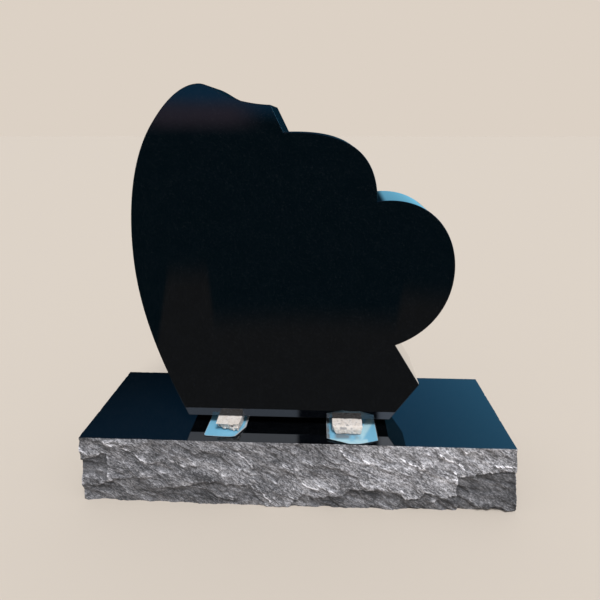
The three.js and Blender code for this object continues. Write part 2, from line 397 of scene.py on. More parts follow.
@dataclass(frozen=True)
class BrokenGranite:
    """The same granite where it is broken: grey, with slanting streaks and ridges whitened by bruising."""

    dark: float = 0.058
    middle: float = 0.19
    light: float = 0.37
    bruising_and_highlight_white: float = 0.60
    paler: float = 0.85
    patchiness: float = 1.2
    tint: Colour = (0.985, 0.98, 1.05)
    streak: Colour = (0.009, 0.0026, 0.0026)
    turn: float = 34.0
    grain_size: float = 0.0022
    bump: float = 0.0017

    def material(self) -> bpy.types.Material:
        """Grain and streaks give the tone and bump; ridges are white from bruising, ledges from bruising and
        a painted highlight, and painted shade darkens hollows, spalls, pits and the stone under the lip.
        """
        recipe = Recipe("broken_granite")
        streaks = recipe.grain(self.streak, self.turn, detail=3.0)
        grain = recipe.grain((self.grain_size,) * 3, detail=3.0)
        crystals = recipe.crystals(self.grain_size * 0.8)
        patches = recipe.grain((0.055, 0.05, 0.024), self.turn * 0.5, detail=3.0)
        tone = 0.45 * streaks + 0.30 * grain + 0.06 * crystals + 0.2 * patches
        dark, middle, light, bruising_and_highlight_white = (
            opaque(self.tint, level) for level in (self.dark, self.middle, self.light, self.bruising_and_highlight_white)
        )
        colour = recipe.mix(tone.above(0.42, 0.54), dark, middle)
        colour = recipe.mix(tone.above(0.515, 0.63), colour, light)
        ridge = recipe.attribute("ridge").above(0.25, 1.1) * streaks.above(0.40, 0.58)
        # The ledges' crests: bruising with a painted highlight.
        ledge = recipe.attribute("ledge").above(0.15, 0.7) * streaks.above(0.41, 0.55)
        colour = recipe.mix(ridge * patches.above(0.38, 0.58) + ledge, colour, bruising_and_highlight_white)
        # Painted shade: the relief's hollows, the spalls, the pits and the stone under the lip go darker.
        colour = recipe.mix(recipe.attribute("painted_shade") * 0.62, colour, dark)
        level = 1.0 + self.paler * recipe.attribute("pale") + self.patchiness * (patches - 0.5)
        height = 0.55 * streaks + 0.35 * grain + 0.1 * crystals
        return recipe.surface({
            "Base Color": recipe.scaled(colour, level), "Roughness": 0.62 + 0.25 * grain, "IOR": 1.5,
            "Normal": recipe.bump(height, self.bump),
        })


@dataclass(frozen=True)
class SawnGranite:
    """The base's underside: grey sawn granite with faint saw lines."""

    tone: Colour = (0.16, 0.16, 0.16)
    speck: Colour = (0.05, 0.05, 0.05)

    def material(self) -> bpy.types.Material:
        """Speckled grey with long shallow lines."""
        recipe = Recipe("sawn_granite")
        lines = recipe.grain((0.4, 0.004, 0.1), detail=2.0)
        crystals = recipe.crystals(0.002)
        colour = recipe.mix(crystals.above(0.45, 0.7), opaque(self.tone), opaque(self.speck))
        return recipe.surface({
            "Base Color": colour, "Roughness": 0.7 + 0.1 * lines, "Normal": recipe.bump(lines, 0.0004),
        })


@dataclass(frozen=True)
class PackingStone:
    """Rough off-white stone, porous and speckled with grey and cream."""

    white: Colour = (0.735, 0.68, 0.638)
    cream: Colour = (0.69, 0.62, 0.56)
    pore: Colour = (0.30, 0.285, 0.29)

    def material(self) -> bpy.types.Material:
        """Cream clouds, grey pores and a coarse bump; pits and cavities that the mesh has get painted shade.
        """
        recipe = Recipe("packing_stone")
        clouds = recipe.grain((0.009, 0.02, 0.009), detail=3.0)
        pores = recipe.grain((0.0030, 0.0075, 0.0030), detail=2.0)
        fine = recipe.grain((0.0011,) * 3, detail=2.0)
        colour = recipe.mix(clouds.above(0.42, 0.62), opaque(self.white), opaque(self.cream))
        colour = recipe.mix(pores.above(0.57, 0.70) * 0.5, colour, opaque(self.pore))
        # Painted shade in the mesh's pits and cavities, towards the pore grey.
        colour = recipe.mix(recipe.attribute("painted_shade").above(0.2, 0.9) * 0.8, colour, opaque(self.pore))
        height = 0.7 * (1.0 - pores) + 0.3 * fine
        return recipe.surface({
            "Base Color": colour, "Roughness": 0.82 + 0.12 * fine, "Normal": recipe.bump(height, 0.0011),
        })


@dataclass(frozen=True)
class PlasticFilm:
    """Light blue plastic film with soft creases, painted sheen, painted edge highlights and painted shadow.
    """

    blue: Colour = (0.16, 0.42, 0.60)
    # The colour of the painted sheen.
    pale: Colour = (0.40, 0.62, 0.70)
    # The colour of the painted highlight along the edges.
    edge: Colour = (0.44, 0.45, 0.46)
    # The colour of the painted shadow.
    shadow_grey: Colour = (0.13, 0.14, 0.15)

    def material(self) -> bpy.types.Material:
        """Painted sheen and creases over blue, painted shadow by the block, and a painted highlight on the
        rim.
        """
        recipe = Recipe("blue_film")
        creases = recipe.grain((0.022, 0.022, 0.02), detail=3.0)
        # Painted sheen, where the film catches glare, lightens the blue towards the pale colour.
        painted_sheen = recipe.attribute("painted_sheen") * creases.above(0.2, 0.5)
        # Painted shadow by the block's foot and along the left edge.
        shadowed = recipe.attribute("painted_shadow") * creases.above(0.2, 0.5)
        colour = recipe.mix(painted_sheen + 0.12 * creases, opaque(self.blue), opaque(self.pale))
        colour = recipe.mix(shadowed, colour, opaque(self.shadow_grey))
        # Painted highlight along the cut edges and the curled margins.
        colour = recipe.mix(recipe.attribute("rim").above(0.3, 0.8), colour, opaque(self.edge))
        return recipe.surface({
            "Base Color": colour, "Roughness": 0.3 + 0.2 * creases, "IOR": 1.5,
            "Normal": recipe.bump(creases, 0.0012, 0.6),
        })


# The base

# Lines on a side's face: mm along it and mm down from its arris, from left to right.
Line = tuple[tuple[float, float], ...]


def height_of(line: Line, along: np.ndarray) -> np.ndarray:
    """How far down a line is at places along the side."""
    x, y = np.array(line).T
    return np.interp(along, x, y)


def ragged(along: np.ndarray, seed: int) -> np.ndarray:
    """How far a broken edge strays from its line, in mm: noise of two sizes along the side."""
    flat = np.stack([along, 0.0 * along, 0.0 * along], axis=-1)
    return 2.4 * noise(flat, 11.0, seed) + 1.3 * noise(flat, 4.3, seed + 1)


@dataclass(frozen=True)
class Spall:
    """A piece broken out of the front face: between two ends, from a top line down to a bottom line."""

    start: float
    end: float
    top: Line
    bottom: Line
    depth: float
    edge: float = 3.0
    seed: int = 0

    def share(self, along: np.ndarray, depth: np.ndarray) -> np.ndarray:
        """How far inside the spall a place is, with a short ramp at its ragged border.

        Args:
            along: mm along the front.
            depth: mm down from its arris.

        Returns:
            1 inside the spall and 0 outside.
        """
        flat = np.stack([depth, 0.0 * depth, 0.0 * depth], axis=-1)
        shift = 1.5 * noise(flat, 9.0, self.seed)
        left, right = along - self.start + shift, self.end - along + shift
        sideways = ramp(left / self.edge) * ramp(right / self.edge)
        under = depth - height_of(self.top, along) - ragged(along, self.seed + 3)
        over = height_of(self.bottom, along) - depth + ragged(along, self.seed + 7)
        return sideways * ramp(under / self.edge) * ramp(over / (3.0 * self.edge))


@dataclass(frozen=True)
class Ledge:
    """A crisp ridge where a flake broke away: it stands out above the line and drops short below it.

    The rise is its height, the reach and the drop are how far it fades above and below the line, and the
    taper is how far it fades at its ends. The line wanders by a share of a broken edge's noise. The white
    line along the crest, bruising with a painted highlight, is a bell of this width round a place over the
    line, and full where the rise is a full one. All are in mm.
    """

    line: Line
    rise: float = 1.8
    reach: float = 12.0
    drop: float = 1.6
    taper: float = 9.0
    wander: float = 0.4
    white_line_over: float = 1.2
    white_line_width: float = 3.0
    full_rise: float = 2.8

    def over(self, along: np.ndarray, depth: np.ndarray) -> np.ndarray:
        """How far above the ragged line a place is, in mm."""
        return height_of(self.line, along) + self.wander * ragged(along, 91) - depth

    def height(self, along: np.ndarray, depth: np.ndarray) -> np.ndarray:
        """The ridge: its rise times an exponential of the distance from the line, steeper below it."""
        over = self.over(along, depth)
        fall = np.where(over > 0.0, over / self.reach, -over / self.drop)
        return self.rise * self.ends(along) * np.exp(-fall)

    def bruise_and_highlight(self, along: np.ndarray, depth: np.ndarray) -> np.ndarray:
        """Bruising and a painted highlight: a narrow bell across the ridge's edge, lower on a low ridge."""
        bell = np.exp(-(((self.over(along, depth) - self.white_line_over) / self.white_line_width) ** 2))
        return min(self.rise / self.full_rise, 1.0) * self.ends(along) * bell

    def ends(self, along: np.ndarray) -> np.ndarray:
        """1 between the line's ends, with a taper at each."""
        (first, _), (last, _) = self.line[0], self.line[-1]
        return ramp((along - first) / self.taper) * ramp((last - along) / self.taper)


FRONT_SPALLS = (
    Spall(
        -30.0, 56.0, ((-20, 52), (3, 51), (32, 45), (53, 35), (60, 37)), ((0, 95), (26, 92), (51, 104)), 4.5,
        seed=5,
    ),
    Spall(
        791.0, 960.0, ((791, 69), (817, 66), (843, 60), (867, 56), (892, 53), (914, 55)), ((790, 175),), 6.0,
        seed=9,
    ),
)
# Small holes that get painted shade: mm along the front, mm down from the arris, and half the width in mm.
FRONT_PITS = ((126.6, 58.8, 4.0), (76.0, 83.6, 3.2))
FRONT_LIP: Line = (
    (0, 110), (38, 112), (56, 100), (82, 91), (135, 87), (160, 106), (205, 109), (237, 100), (289, 89),
    (313, 98), (353, 101), (364, 113), (397, 152), (440, 152), (449, 138), (472, 114), (496, 128), (536, 121),
    (557, 115), (576, 103), (605, 103), (630, 97), (662, 107), (689, 122), (713, 117), (726, 104), (761, 115),
    (791, 112), (830, 138), (914, 146),
)
FRONT_LEDGES = (
    Ledge(((48, 11), (75, 18), (104, 29), (130, 48), (146, 56)), 3.0, 16.0),
    Ledge(((98, 34), (112, 62), (139, 91)), 1.2, 6.0),
    Ledge(((184, 43), (211, 55), (232, 62)), 1.8, 10.0),
    Ledge(((278, 55), (298, 73), (320, 90)), 2.0, 12.0),
    Ledge(((334, 29), (354, 43), (374, 64)), 2.6, 12.0),
    Ledge(((368, 94), (395, 129), (412, 150)), 2.2, 14.0),
    Ledge(((426, 46), (449, 58), (470, 62)), 2.0, 9.0),
    Ledge(((455, 74), (481, 100), (512, 108)), 2.0, 12.0),
    Ledge(((545, 3), (563, 26), (582, 44)), 2.2, 10.0),
    Ledge(((668, 28), (690, 37), (728, 54)), 2.0, 10.0),
    Ledge(((752, 14), (773, 29), (794, 38), (812, 56)), 2.4, 12.0),
    Ledge(((764, 64), (785, 75), (800, 76)), 1.6, 8.0),
    Ledge(((862, 40), (873, 42), (898, 41), (912, 46)), 2.0, 9.0),
)


@dataclass(frozen=True)
class RockFace:
    """How a rock-pitched side swells down to a wavy lip, steps back under it and breaks into facets."""

    height: float
    bulge: float = 16.0
    swell: float = 14.0
    lip: float = 0.77
    lip_step: float = 4.0
    undercut: float = 3.0
    facet_relief: float = 4.2
    facets: Facets = Facets(long=96.0, short=62.0, shear=0.8)
    step: float = 15.0
    rows: int = 9
    crowding: float = 1.15

    def lip_line(self, side: int, along: np.ndarray) -> np.ndarray:
        """How far down the lip runs, as a share of the height: two waves of different lengths."""
        turn = 2.0 * math.pi * (along - 442.0)
        return self.lip + 0.09 * np.sin(turn / 1010.0 + side) + 0.035 * np.sin(turn / 118.0 + side)

    def raw(self, side: int, along: np.ndarray, down: np.ndarray, lip: np.ndarray) -> np.ndarray:
        """How far a side stands out before scaling.

        That is the swell down to the lip, less the step and the lean under it, plus the facets.

        Args:
            side: the side's number.
            along: mm along the side.
            down: the share of the height from the arris.
            lip: the share at which the lip is.

        Returns:
            Distances in mm.
        """
        flat = np.stack([along, 0.0 * along, 0.0 * along], axis=-1)
        swell = self.swell * np.minimum(down / lip, 1.0) ** 1.2
        step = self.lip_step * (1.0 + 0.45 * noise(flat, 31.0, 67)) * ramp((down - lip) / 0.035)
        lean = self.undercut * np.maximum(down - lip, 0.0) / (1.0 - lip)
        broken = self.facet_relief * self.facets.height(side, along, down * self.height) * ramp(down / 0.3)
        return np.maximum(swell - step - lean + broken, 0.0)

    def scale(self, side: int, length: float) -> float:
        """The factor that makes a side's highest point on the solid's grid stand out by the bulge.

        Args:
            side: the side's number.
            length: its length in mm.

        Returns:
            The factor.
        """
        columns = max(4, round(length / self.step))
        along = np.linspace(0.0, length, columns + 1)[None, :]
        down = (np.arange(self.rows + 1)[:, None] / self.rows) ** self.crowding
        along, down = np.broadcast_arrays(along, down)
        return self.bulge / self.raw(side, along, down, self.lip_line(side, along)).max()


@dataclass(frozen=True)
class Fracture:
    """The finer breaks on a rock-pitched side: crisp facets of three sizes, with ragged slanting streaks."""

    layers: tuple[tuple[Facets, float], ...] = (
        (Facets(long=60.0, short=25.0, turn=28.0, sharpness=16.0, lean=2.6, seed=101), 2.1),
        (Facets(long=27.0, short=9.0, turn=32.0, sharpness=13.0, lean=3.0, seed=211), 1.35),
        (Facets(long=11.0, short=4.6, turn=38.0, sharpness=9.0, lean=3.0, seed=307), 0.6),
    )
    warp: float = 7.0
    chip: float = 0.9

    def height(self, side: int, along: np.ndarray, depth: np.ndarray) -> np.ndarray:
        """The sum of the facet layers, at places that smooth noise has moved about.

        Args:
            side: the side's number.
            along: mm along the side.
            depth: mm down from its arris, at which the fracture fades out.

        Returns:
            Heights in mm.
        """
        flat = np.stack([along, depth, np.full(along.shape, 211.0 * side)], axis=-1)
        u = along + self.warp * noise(flat, 46.0, 5) + 0.4 * self.warp * noise(flat, 17.0, 6)
        w = depth + self.warp * noise(flat, 38.0, 7) + 0.4 * self.warp * noise(flat, 15.0, 8)
        total = sum(relief * facets.height(side, u, w) for facets, relief in self.layers)
        return total * ramp(depth / 7.0)

    def chips(self, side: int, along: np.ndarray) -> np.ndarray:
        """How far small chips eat into the arris: the tops of noise along it, in mm."""
        flat = np.stack([along, np.zeros(along.shape), np.full(along.shape, 97.0 * side)], axis=-1)
        return self.chip * (ramp((noise(flat, 11.0, 21) - 0.35) / 0.5) + 0.15 * (1.0 + noise(flat, 3.0, 22)))


@dataclass
class Base:
    """The base, as one piece: a polished top inside a crisp arris, rock-pitched sides, a sawn underside.

    A place on a side is given by the side's number, mm along it and the share of the height down from the
    arris. Lengths are in mm.
    """

    bulge: float = 16.0
    proud: float = 2.0
    pit_depth: float = 3.5
    corner_run: float = 32.0
    pitch: float = 2.12
    rows: int = 78
    fracture: Fracture = field(default_factory=Fracture)

    def __post_init__(self) -> None:
        """Takes the sizes from the solid's box."""
        low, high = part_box("base")
        self.length = (high.x - low.x) / MM - 2.0 * self.bulge
        self.depth = (high.y - low.y) / MM - 2.0 * self.bulge
        self.height = (high.z - low.z) / MM
        self.face = RockFace(self.height, self.bulge)

    def side_length(self, side: int) -> float:
        """The length of a side between its arrises: 0 is the front, then counter-clockwise."""
        return self.length if side % 2 == 0 else self.depth

    def reach(self, side: int, along: np.ndarray, down: np.ndarray) -> np.ndarray:
        """How far a side stands out: the solid's broad form with the fracture on it, kept near the bulge.

        The front has its ledges, spalls and pits on it as well, and the ends are drawn in at its corners.

        Args:
            side: the side's number.
            along: mm along it.
            down: the share of the height.

        Returns:
            Distances in mm.
        """
        length = self.side_length(side)
        along, down = np.broadcast_arrays(along, down)
        lip = self.lip(side, along)
        broad = self.face.scale(side, length) * self.face.raw(side, along, down, lip)
        depth = down * self.height
        total = broad + self.fracture.height(side, along, depth)
        if side == 0:
            total = total + sum(ledge.height(along, depth) for ledge in FRONT_LEDGES) * ramp(depth / 9.0)
            total = total - sum(spall.depth * spall.share(along, depth) for spall in FRONT_SPALLS)
            total = total - self.pit_depth * self.pits(along, depth)
        near, profile = self.corner(side, along, down)
        total = total + near * (profile + 0.25 * self.fracture.height(side, along, depth) - total)
        chips = self.fracture.chips(side, along) * (1.0 - ramp(depth / 3.5))
        return np.minimum(total - chips, self.bulge + self.proud)

    def corner(self, side: int, along: np.ndarray, down: np.ndarray) -> tuple[np.ndarray, np.ndarray]:
        """How near a place is to a front corner, and how far an end stands out there.

        The left corner is nearly plumb, and the right one leans out evenly to the foot.

        Args:
            side: the side's number: 1 is the right end and 3 the left.
            along: mm along it.
            down: the share of the height.

        Returns:
            The nearness from 0 to 1, in a bell along the side, and the distances in mm.
        """
        if side == 1:
            return np.exp(-((along / self.corner_run) ** 2)), 0.5 + 14.5 * down
        if side == 3:
            return np.exp(-(((self.depth - along) / self.corner_run) ** 2)), 0.8 + 3.6 * down**3
        return np.zeros(along.shape), np.zeros(along.shape)

    def lip(self, side: int, along: np.ndarray) -> np.ndarray:
        """Where the lip is, as a share of the height: drawn on the front, in waves on the other sides."""
        if side:
            return self.face.lip_line(side, along) + ragged(along, 61 + side) / self.height
        return (height_of(FRONT_LIP, along) + 1.2 * ragged(along, 61)) / self.height

    def shade(self, side: int, along: np.ndarray, down: np.ndarray) -> np.ndarray:
        """How much painted shade a place takes for being under the lip, in a spall or in a pit.

        Args:
            side: the side's number.
            along: mm along it.
            down: the share of the height.

        Returns:
            1 just under the lip, less towards the foot, and 0 in the open.
        """
        along, down = np.broadcast_arrays(along, down)
        lip = self.lip(side, along)
        flat = np.stack([along, 150.0 * down, 0.0 * along], axis=-1)
        patchy = 0.75 + 0.45 * noise(flat, 42.0, 73)
        under = ramp((down - lip) / 0.03) * (1.0 - 0.65 * ramp((down - lip) / 0.3)) * patchy
        if side == 0:
            inside = sum(spall.share(along, down * self.height) for spall in FRONT_SPALLS)
            under = np.maximum(under, inside * (1.0 - 0.5 * ramp((down - 0.55) / 0.4)))
            under = under + 1.4 * self.pits(along, down * self.height)
        return np.clip(under, 0.0, 1.0)

    @staticmethod
    def pits(along: np.ndarray, depth: np.ndarray) -> np.ndarray:
        """The small holes in the front, as bells that slant down to the right.

        Args:
            along: mm along the front.
            depth: mm down from its arris.

        Returns:
            1 in the middle of a hole and 0 away from it.
        """
        bells = []
        for x, y, size in FRONT_PITS:
            flat = ((along - x) + (depth - y)) / (1.6 * size)
            bells.append(np.exp(-(flat**2) - (((depth - y) - 0.5 * (along - x)) / (0.7 * size)) ** 2))
        return sum(bells)

    def ledge_bruising_and_highlights(self, side: int, along: np.ndarray, down: np.ndarray) -> np.ndarray:
        """How white the front's ledges are, from bruising and a painted highlight along each crest.

        Args:
            side: the side's number.
            along: mm along it.
            down: the share of the height.

        Returns:
            Shares from 0 to 1.
        """
        along, down = np.broadcast_arrays(along, down)
        if side:
            return np.zeros(along.shape)
        return np.clip(sum(ledge.bruise_and_highlight(along, down * self.height) for ledge in FRONT_LEDGES), 0.0, 1.0)

    def paleness(self, side: int, along: np.ndarray, down: np.ndarray) -> np.ndarray:
        """How pale the stone is: above the lip the front grows paler to the right.

        Args:
            side: the side's number; the ends and the back have one middling value.
            along: mm along it.
            down: the share of the height.

        Returns:
            Shares from 0 to 1.
        """
        along, down = np.broadcast_arrays(along, down)
        if side:
            return np.full(along.shape, 0.4)
        share = along / self.length
        # Nothing grows paler below the lip or in a spall, which keeps those places darker as painted shade.
        above = 1.0 - ramp((down - self.lip(side, along)) / 0.05)
        hollows = sum(spall.share(along, down * self.height) for spall in FRONT_SPALLS)
        right = ramp((share - 0.56) / 0.1) * (1.0 - 0.45 * ramp((down - 0.45) / 0.2))
        middle = 0.35 * ramp((share - 0.35) / 0.15) * ramp((down - 0.35) / 0.2)
        whole = np.clip(1.0 - hollows, 0.0, 1.0)
        return np.clip(0.12 + 0.88 * right + middle * (1.0 - right), 0.0, 1.0) * above * whole

    def rings(self) -> tuple[np.ndarray, ...]:
        """The points of the sides, row by row, and what is known of each.

        Each side runs between its two displaced corners: a place goes from minus the reach of the side
        before, to the length plus the reach of the side after, and stands out by its own reach.

        Returns:
            The points, (rows, ring, 3), and the reach in mm, the painted shade, the paleness, the ledges'
            white lines of bruising and painted highlight, and how far down from the lip each is, as a share
            of the height.
        """
        down = np.linspace(0.0, 1.0, self.rows + 1)[:, None]
        points, reaches, shades, pales, ledge_bruising_and_highlights, lips = [], [], [], [], [], []
        for side in range(4):
            length, across = self.side_length(side), self.side_length(side + 1)
            columns = round(length / self.pitch)
            share = np.arange(columns)[None, :] / columns
            before, after = (side + 3) % 4, (side + 1) % 4
            start = self.reach(before, np.array([[self.side_length(before)]]), down)
            end = self.reach(after, np.array([[0.0]]), down)
            out = self.reach(side, share * length, down)
            along = -start + (length + start + end) * share - length / 2.0
            turn = side * math.pi / 2.0
            x, y = round(math.cos(turn)), round(math.sin(turn))
            away = out + across / 2.0
            height = np.broadcast_to(self.height * (1.0 - down), out.shape)
            points.append(np.stack([along * x + away * y, along * y - away * x, height], axis=-1))
            reaches.append(out)
            shades.append(self.shade(side, share * length, down))
            pales.append(self.paleness(side, share * length, down))
            ledge_bruising_and_highlights.append(self.ledge_bruising_and_highlights(side, share * length, down))
            lips.append(down - self.lip(side, share * length))
        found = (points, reaches, shades, pales, ledge_bruising_and_highlights, lips)
        return tuple(np.concatenate(parts, axis=1) for parts in found)

    @staticmethod
    def relief_signs(reach: np.ndarray, spread: int = 4) -> tuple[np.ndarray, np.ndarray]:
        """Where the sides are ridges or hollows: how far they are over, or under, the mean round a place.

        Args:
            reach: how far the sides stand out, in mm.
            spread: how many points on each way the mean takes in.

        Returns:
            The ridges and the hollows, from 0 to 1.
        """
        padded = np.pad(reach, ((spread, spread), (0, 0)), mode="edge")
        rows = sum(padded[k:k + reach.shape[0]] for k in range(2 * spread + 1)) / (2 * spread + 1)
        mean = sum(np.roll(rows, k, axis=1) for k in range(-spread, spread + 1)) / (2 * spread + 1)
        over = reach - mean
        return np.clip((over - 0.35) / 1.9, 0.0, 1.0), np.clip((-over - 0.2) / 2.2, 0.0, 1.0)

    def build(self, finishes: Sequence[bpy.types.Material]) -> bpy.types.Object:
        """Makes the base in the solid's place, and stores what its material reads.

        Args:
            finishes: the polished, the broken and the sawn granite.

        Returns:
            The piece.
        """
        points, reach, shade, pale, ledge_bruising_and_highlights, lips = self.rings()
        rows, ring = reach.shape
        sides = closed_strip(rows, ring)
        top = list(range(ring))
        bottom = list(range(rows * ring - 1, (rows - 1) * ring - 1, -1))
        count = len(sides)
        materials = np.concatenate([np.ones(count), [0, 2]])
        smooth = np.concatenate([np.ones(count), [0, 0]])
        faces = [*sides.tolist(), top, bottom]
        piece = make_piece("granite_base", points.reshape(-1, 3), faces, finishes, materials, smooth, 60.0)
        ridge, painted_shade = self.relief_signs(reach)
        ridge = ridge * (1.0 - 0.6 * np.exp(-((lips / 0.035) ** 2)))
        add_attribute(piece, "ridge", ridge.ravel())
        # Painted shade for the relief's hollows and for places under the lip, in spalls and in pits.
        add_attribute(piece, "painted_shade", np.clip(painted_shade + 0.75 * shade, 0.0, 1.0).ravel())
        add_attribute(piece, "pale", pale.ravel())
        add_attribute(piece, "ledge", ledge_bruising_and_highlights.ravel())
        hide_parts("base")
        return piece


# The tablet

@dataclass(frozen=True)
class Stretch:
    """One stretch of the tablet's outline, as shares of its width and height: straight, or a cubic curve."""

    to: tuple[float, float]
    by: tuple[tuple[float, float], tuple[float, float]] | None = None


FOOT_LEFT = (0.137, 0.0)
OUTLINE = (
    Stretch((0.829, 0.0)),
    Stretch((0.92, 0.1275)),
    Stretch((0.8325, 0.2605)),
    Stretch((1.0, 0.49), ((0.937, 0.3), (1.0, 0.388))),
    Stretch((0.753, 0.696), ((1.0, 0.617), (0.905, 0.718))),
    Stretch((0.476, 0.879), ((0.747, 0.8545), (0.624, 0.882))),
    Stretch((0.439, 0.9485)),
    Stretch((0.331, 0.9655), ((0.405, 0.9497), (0.366, 0.9545))),
    Stretch((0.239, 1.0015), ((0.301, 0.9703), (0.27, 1.0013))),
    Stretch((0.1015, 0.91), ((0.1845, 1.0015), (0.1347, 0.953))),
    Stretch((0.0, 0.533), ((0.021, 0.812), (0.0, 0.657))),
    Stretch(FOOT_LEFT, ((0.0, 0.349), (0.06, 0.178))),
)


@dataclass
class Tablet:
    """The tablet: its outline carried through a slab, with a small rounded arris round both faces."""

    arris: float = 1.0
    arris_steps: int = 4
    curve_steps: int = 72

    def outline(self) -> np.ndarray:
        """The outline, counter-clockwise from the front, with its round stretches as cubic Bezier curves.

        Returns:
            X and Z of its points in mm, (points, 2).
        """
        low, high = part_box("tablet")
        start = np.array(FOOT_LEFT)
        points = []
        for stretch in OUTLINE:
            points.append(start[None, :])
            end = np.array(stretch.to)
            if stretch.by:
                t = np.linspace(0.0, 1.0, self.curve_steps + 1)[1:-1, None]
                first, second = (np.array(handle) for handle in stretch.by)
                curve = (1 - t) ** 3 * start + 3 * (1 - t) ** 2 * t * first
                curve = curve + 3 * (1 - t) * t**2 * second + t**3 * end
                points.append(curve)
            start = end
        shares = np.concatenate(points)
        return np.array([low.x, low.z]) / MM + shares * np.array([high.x - low.x, high.z - low.z]) / MM

    @staticmethod
    def inset(outline: np.ndarray, by: float) -> np.ndarray:
        """The outline moved in: each point goes by its two inward normals' sum over 1 plus their product.

        Args:
            outline: its points, counter-clockwise.
            by: how far it moves in, in mm.

        Returns:
            The moved points.
        """
        edge = np.roll(outline, -1, axis=0) - outline
        edge /= np.linalg.norm(edge, axis=1, keepdims=True)
        inward = np.stack([-edge[:, 1], edge[:, 0]], axis=-1)
        before = np.roll(inward, 1, axis=0)
        share = 1.0 + np.sum(inward * before, axis=1, keepdims=True)
        return outline + by * (inward + before) / np.maximum(share, 0.4)

    def build(self, polished: bpy.types.Material) -> bpy.types.Object:
        """Makes the tablet: quarter-round arrises, straight walls and two flat faces.

        An arris is a row of loops at even angles of a quarter circle: a loop is moved in by its radius times
        1 minus the sine, and lies behind the face by its radius times 1 minus the cosine.

        Args:
            polished: the finish.

        Returns:
            The piece.
        """
        low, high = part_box("tablet")
        front, back = low.y / MM, high.y / MM
        outline = self.outline()
        angle = np.linspace(0.0, math.pi / 2.0, self.arris_steps + 1)
        inset = self.arris * (1.0 - np.sin(angle))
        lead = self.arris * (1.0 - np.cos(angle))
        inset, lead = np.append(inset, 0.0), np.append(lead, 1.4 * self.arris)
        insets = np.concatenate([inset, inset[::-1]])
        places = np.concatenate([front + lead, back - lead[::-1]])
        loops = []
        for by, y in zip(insets, places):
            loop = self.inset(outline, by)
            loops.append(np.stack([loop[:, 0], np.full(len(loop), y), loop[:, 1]], axis=-1))
        points = np.stack(loops)
        rows, ring = points.shape[:2]
        walls = closed_strip(rows, ring)[:, ::-1]
        front_face = list(range(ring))
        back_face = list(range(rows * ring - 1, (rows - 1) * ring - 1, -1))
        faces = [*walls.tolist(), front_face, back_face]
        count = len(walls)
        smooth = np.concatenate([np.ones(count), [0, 0]])
        piece = make_piece(
            "granite_tablet", points.reshape(-1, 3), faces, (polished,), np.zeros(count + 2), smooth, 28.0
        )
        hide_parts("tablet")
        return piece


# What carries the tablet

class Side(Enum):
    """Which end of the tablet's foot a block or a film sheet is at."""

    LEFT = "left"
    RIGHT = "right"


